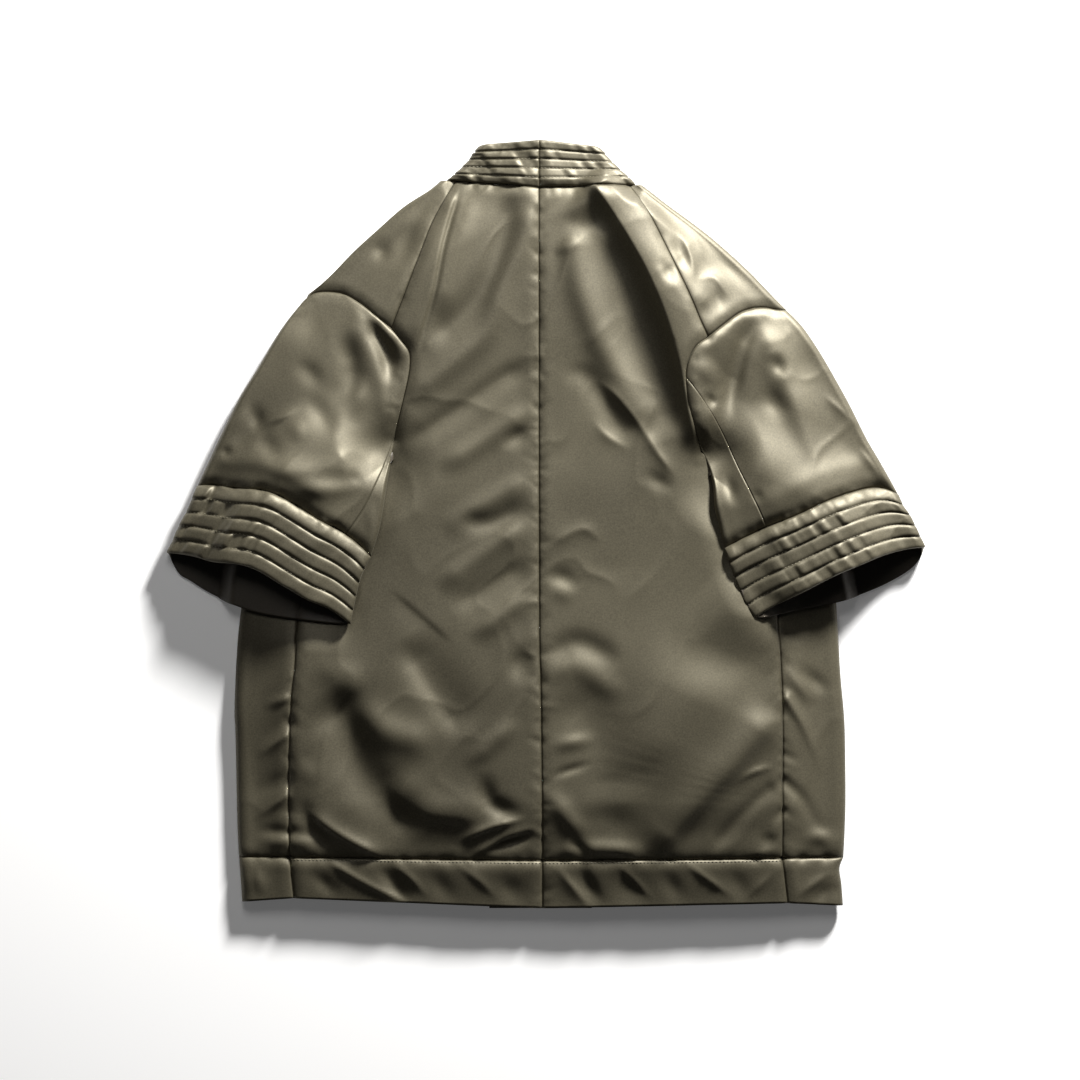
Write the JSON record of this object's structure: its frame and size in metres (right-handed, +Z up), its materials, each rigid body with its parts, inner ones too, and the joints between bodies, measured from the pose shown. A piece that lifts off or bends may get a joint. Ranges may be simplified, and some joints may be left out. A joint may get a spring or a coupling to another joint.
{
  "type": "padded kimono jacket laid flat",
  "caption": "Padded satin kimono jacket laid flat with its back up: wide short sleeves, quilted cuffs and neckband, open front, folded hem band",
  "frame": {"origin": "on the surface the jacket lies on, under the middle of its outline", "axes": "+Y from the hem to the collar, +X to the right as seen from above with the back up, +Z up off the surface"},
  "size_m": [0.7611, 0.7713, 0.0487],
  "materials": {
    "satin": "satin",
    "quilted_satin": "satin"
  },
  "bodies": {
    "root": {"back_left": "satin", "back_right": "satin", "shoulder_left": "satin", "shoulder_right": "satin", "side_left": "satin", "side_right": "satin", "front_left": "satin", "front_right": "satin", "neckband_left": "quilted_satin", "neckband_right": "quilted_satin", "collar_left": "quilted_satin", "collar_right": "quilted_satin", "sleeve_left": "satin", "sleeve_right": "satin", "undersleeve_left": "satin", "undersleeve_right": "satin", "cuff_left": "quilted_satin", "cuff_right": "quilted_satin", "hem_back_left": "satin", "hem_back_right": "satin", "hem_side_left": "satin", "hem_side_right": "satin", "hem_front_left": "satin", "hem_front_right": "satin"}
  },
  "joints": []
}
